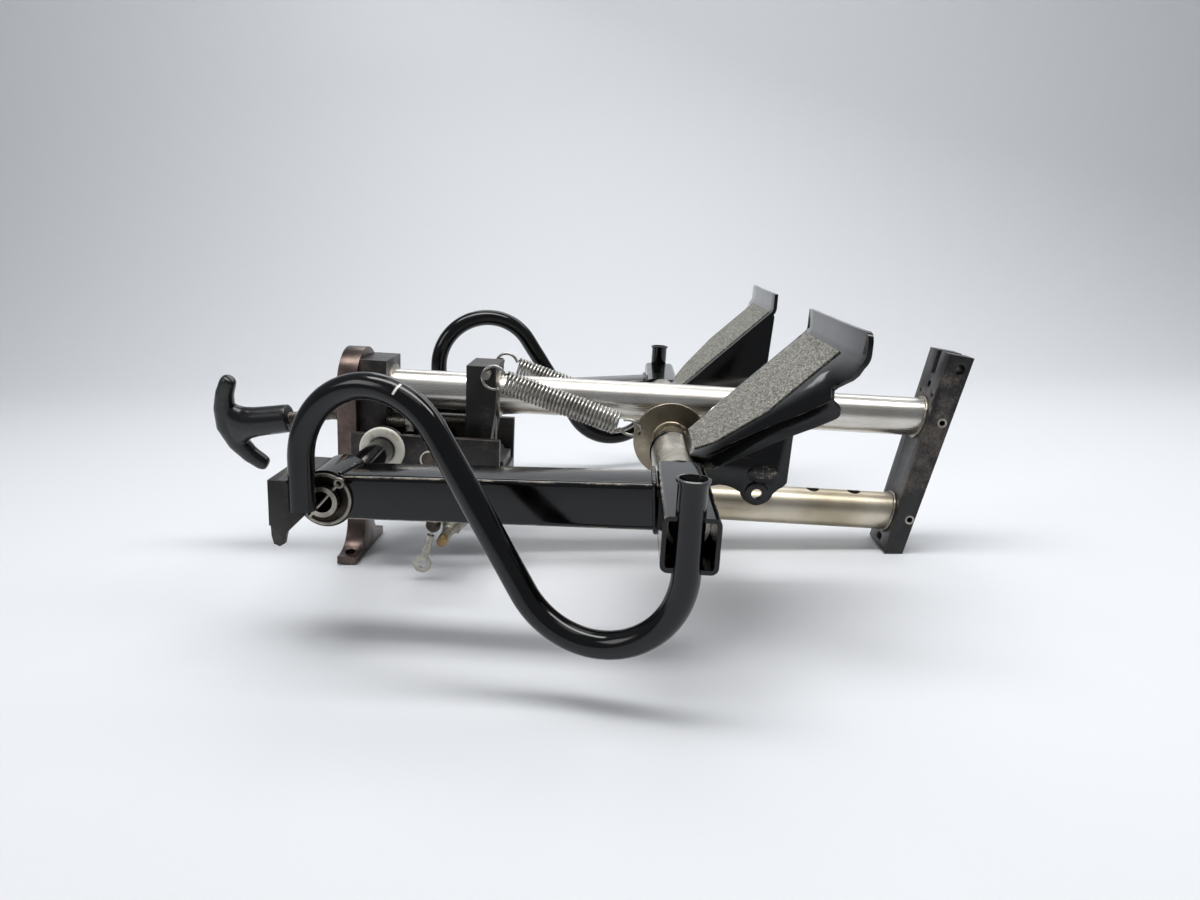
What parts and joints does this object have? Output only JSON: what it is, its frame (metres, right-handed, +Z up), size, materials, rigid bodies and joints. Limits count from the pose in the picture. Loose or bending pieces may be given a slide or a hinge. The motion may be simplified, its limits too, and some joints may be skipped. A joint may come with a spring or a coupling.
{
  "type": "aircraft rudder pedals",
  "caption": "Adjustable aircraft rudder pedals with toe brakes: a sled on slide tubes, swinging arms, S-shaped cable guides, return springs and a T-handle lock.",
  "frame": {"origin": "middle of the underside of the end plate feet", "axes": "+X forward along the slide tubes, +Y to the left pedal, +Z up"},
  "size_m": [0.4926, 0.4514, 0.1844],
  "materials": {
    "gloss_black_paint": "gloss black enamel, worn at the edges",
    "polished_aluminium": "turned and polished",
    "bronze_anodised": "bronze anodised",
    "bare_steel": "bare, slightly dull",
    "white_nylon": "natural nylon",
    "black_plastic": "satin moulded",
    "grit_tape": "coarse mineral grit"
  },
  "bodies": {
    "rails": {"upper_tube": "polished_aluminium", "lower_tube": "polished_aluminium", "front_bracket": "gloss_black_paint", "bracket_screws": "bare_steel"},
    "sled": {"end_plate": "bronze_anodised", "rear_block": "gloss_black_paint", "spring_post": "gloss_black_paint", "lower_slider": "gloss_black_paint", "side_plate_right": "gloss_black_paint", "side_plate_left": "gloss_black_paint", "rear_slide_bush": "bare_steel", "front_slide_bush": "bare_steel", "plate_screws": "gloss_black_paint", "side_screws": "gloss_black_paint", "pivot_shaft": "gloss_black_paint", "pivot_bush_right": "white_nylon", "pivot_bush_left": "white_nylon", "side_plugs": "white_nylon", "hub_washers": "bare_steel", "split_pins": "bare_steel", "side_fitting": "bare_steel", "tag_stud": "bronze_anodised", "bonding_tag": "bare_steel", "stop_screws": "gloss_black_paint", "stop_nuts": "bare_steel", "spring_pins": "bare_steel", "spring_right": "bare_steel", "spring_left": "bare_steel"},
    "pull_handle": {"pull_rod": "gloss_black_paint", "t_handle": "black_plastic"},
    "lock_pin": {"lock_pin": "bare_steel", "cross_pin": "bare_steel"},
    "pedal_right": {"arm_right": "gloss_black_paint", "hub_right": "gloss_black_paint", "horn_right": "gloss_black_paint", "guide_tube_right": "gloss_black_paint", "cross_tube_right": "gloss_black_paint", "brake_axle_right": "bare_steel", "spring_disc_right": "bronze_anodised"},
    "pedal_left": {"arm_left": "gloss_black_paint", "hub_left": "gloss_black_paint", "horn_left": "gloss_black_paint", "guide_tube_left": "gloss_black_paint", "cross_tube_left": "gloss_black_paint", "brake_axle_left": "bare_steel", "spring_disc_left": "bronze_anodised"},
    "brake_right": {"foot_plate_right": "gloss_black_paint", "gusset_right": "gloss_black_paint", "grip_tape_right": "grit_tape", "hinge_sleeve_right": "gloss_black_paint"},
    "brake_left": {"foot_plate_left": "gloss_black_paint", "gusset_left": "gloss_black_paint", "grip_tape_left": "grit_tape", "hinge_sleeve_left": "gloss_black_paint"}
  },
  "joints": [
    {"name": "sled_slide", "type": "slide", "parent": "rails", "child": "sled", "axis": [1, 0, 0], "range_m": [0, 0.0546]},
    {"name": "pull_slide", "type": "slide", "parent": "sled", "child": "pull_handle", "axis": [1, 0, 0], "range_m": [0, 0.008]},
    {"name": "lock_slide", "type": "slide", "parent": "sled", "child": "lock_pin", "axis": [0, 0, -1], "range_m": [0, 0.008]},
    {"name": "pedal_right_swing", "type": "hinge", "parent": "sled", "child": "pedal_right", "pos_m": [0.0264, -0.127, 0.0812], "axis": [0, -1, 0], "range_deg": [0, 90], "stiffness_Nm_per_rad": 1, "springref_deg": 30.94, "deforming": ["spring_right"]},
    {"name": "brake_right_tilt", "type": "hinge", "parent": "pedal_right", "child": "brake_right", "pos_m": [0.207, -0.096, 0.0956], "axis": [0, 1, 0], "range_deg": [-25, 0]},
    {"name": "pedal_left_swing", "type": "hinge", "parent": "sled", "child": "pedal_left", "pos_m": [0.0264, 0.127, 0.0812], "axis": [0, -1, 0], "range_deg": [0, 90], "stiffness_Nm_per_rad": 1, "springref_deg": 30.94, "deforming": ["spring_left"]},
    {"name": "brake_left_tilt", "type": "hinge", "parent": "pedal_left", "child": "brake_left", "pos_m": [0.207, 0.096, 0.0956], "axis": [0, 1, 0], "range_deg": [-25, 0]}
  ],
  "couplings": [
    {"joint": "lock_slide", "follows": "pull_slide", "ratio": 1}
  ]
}
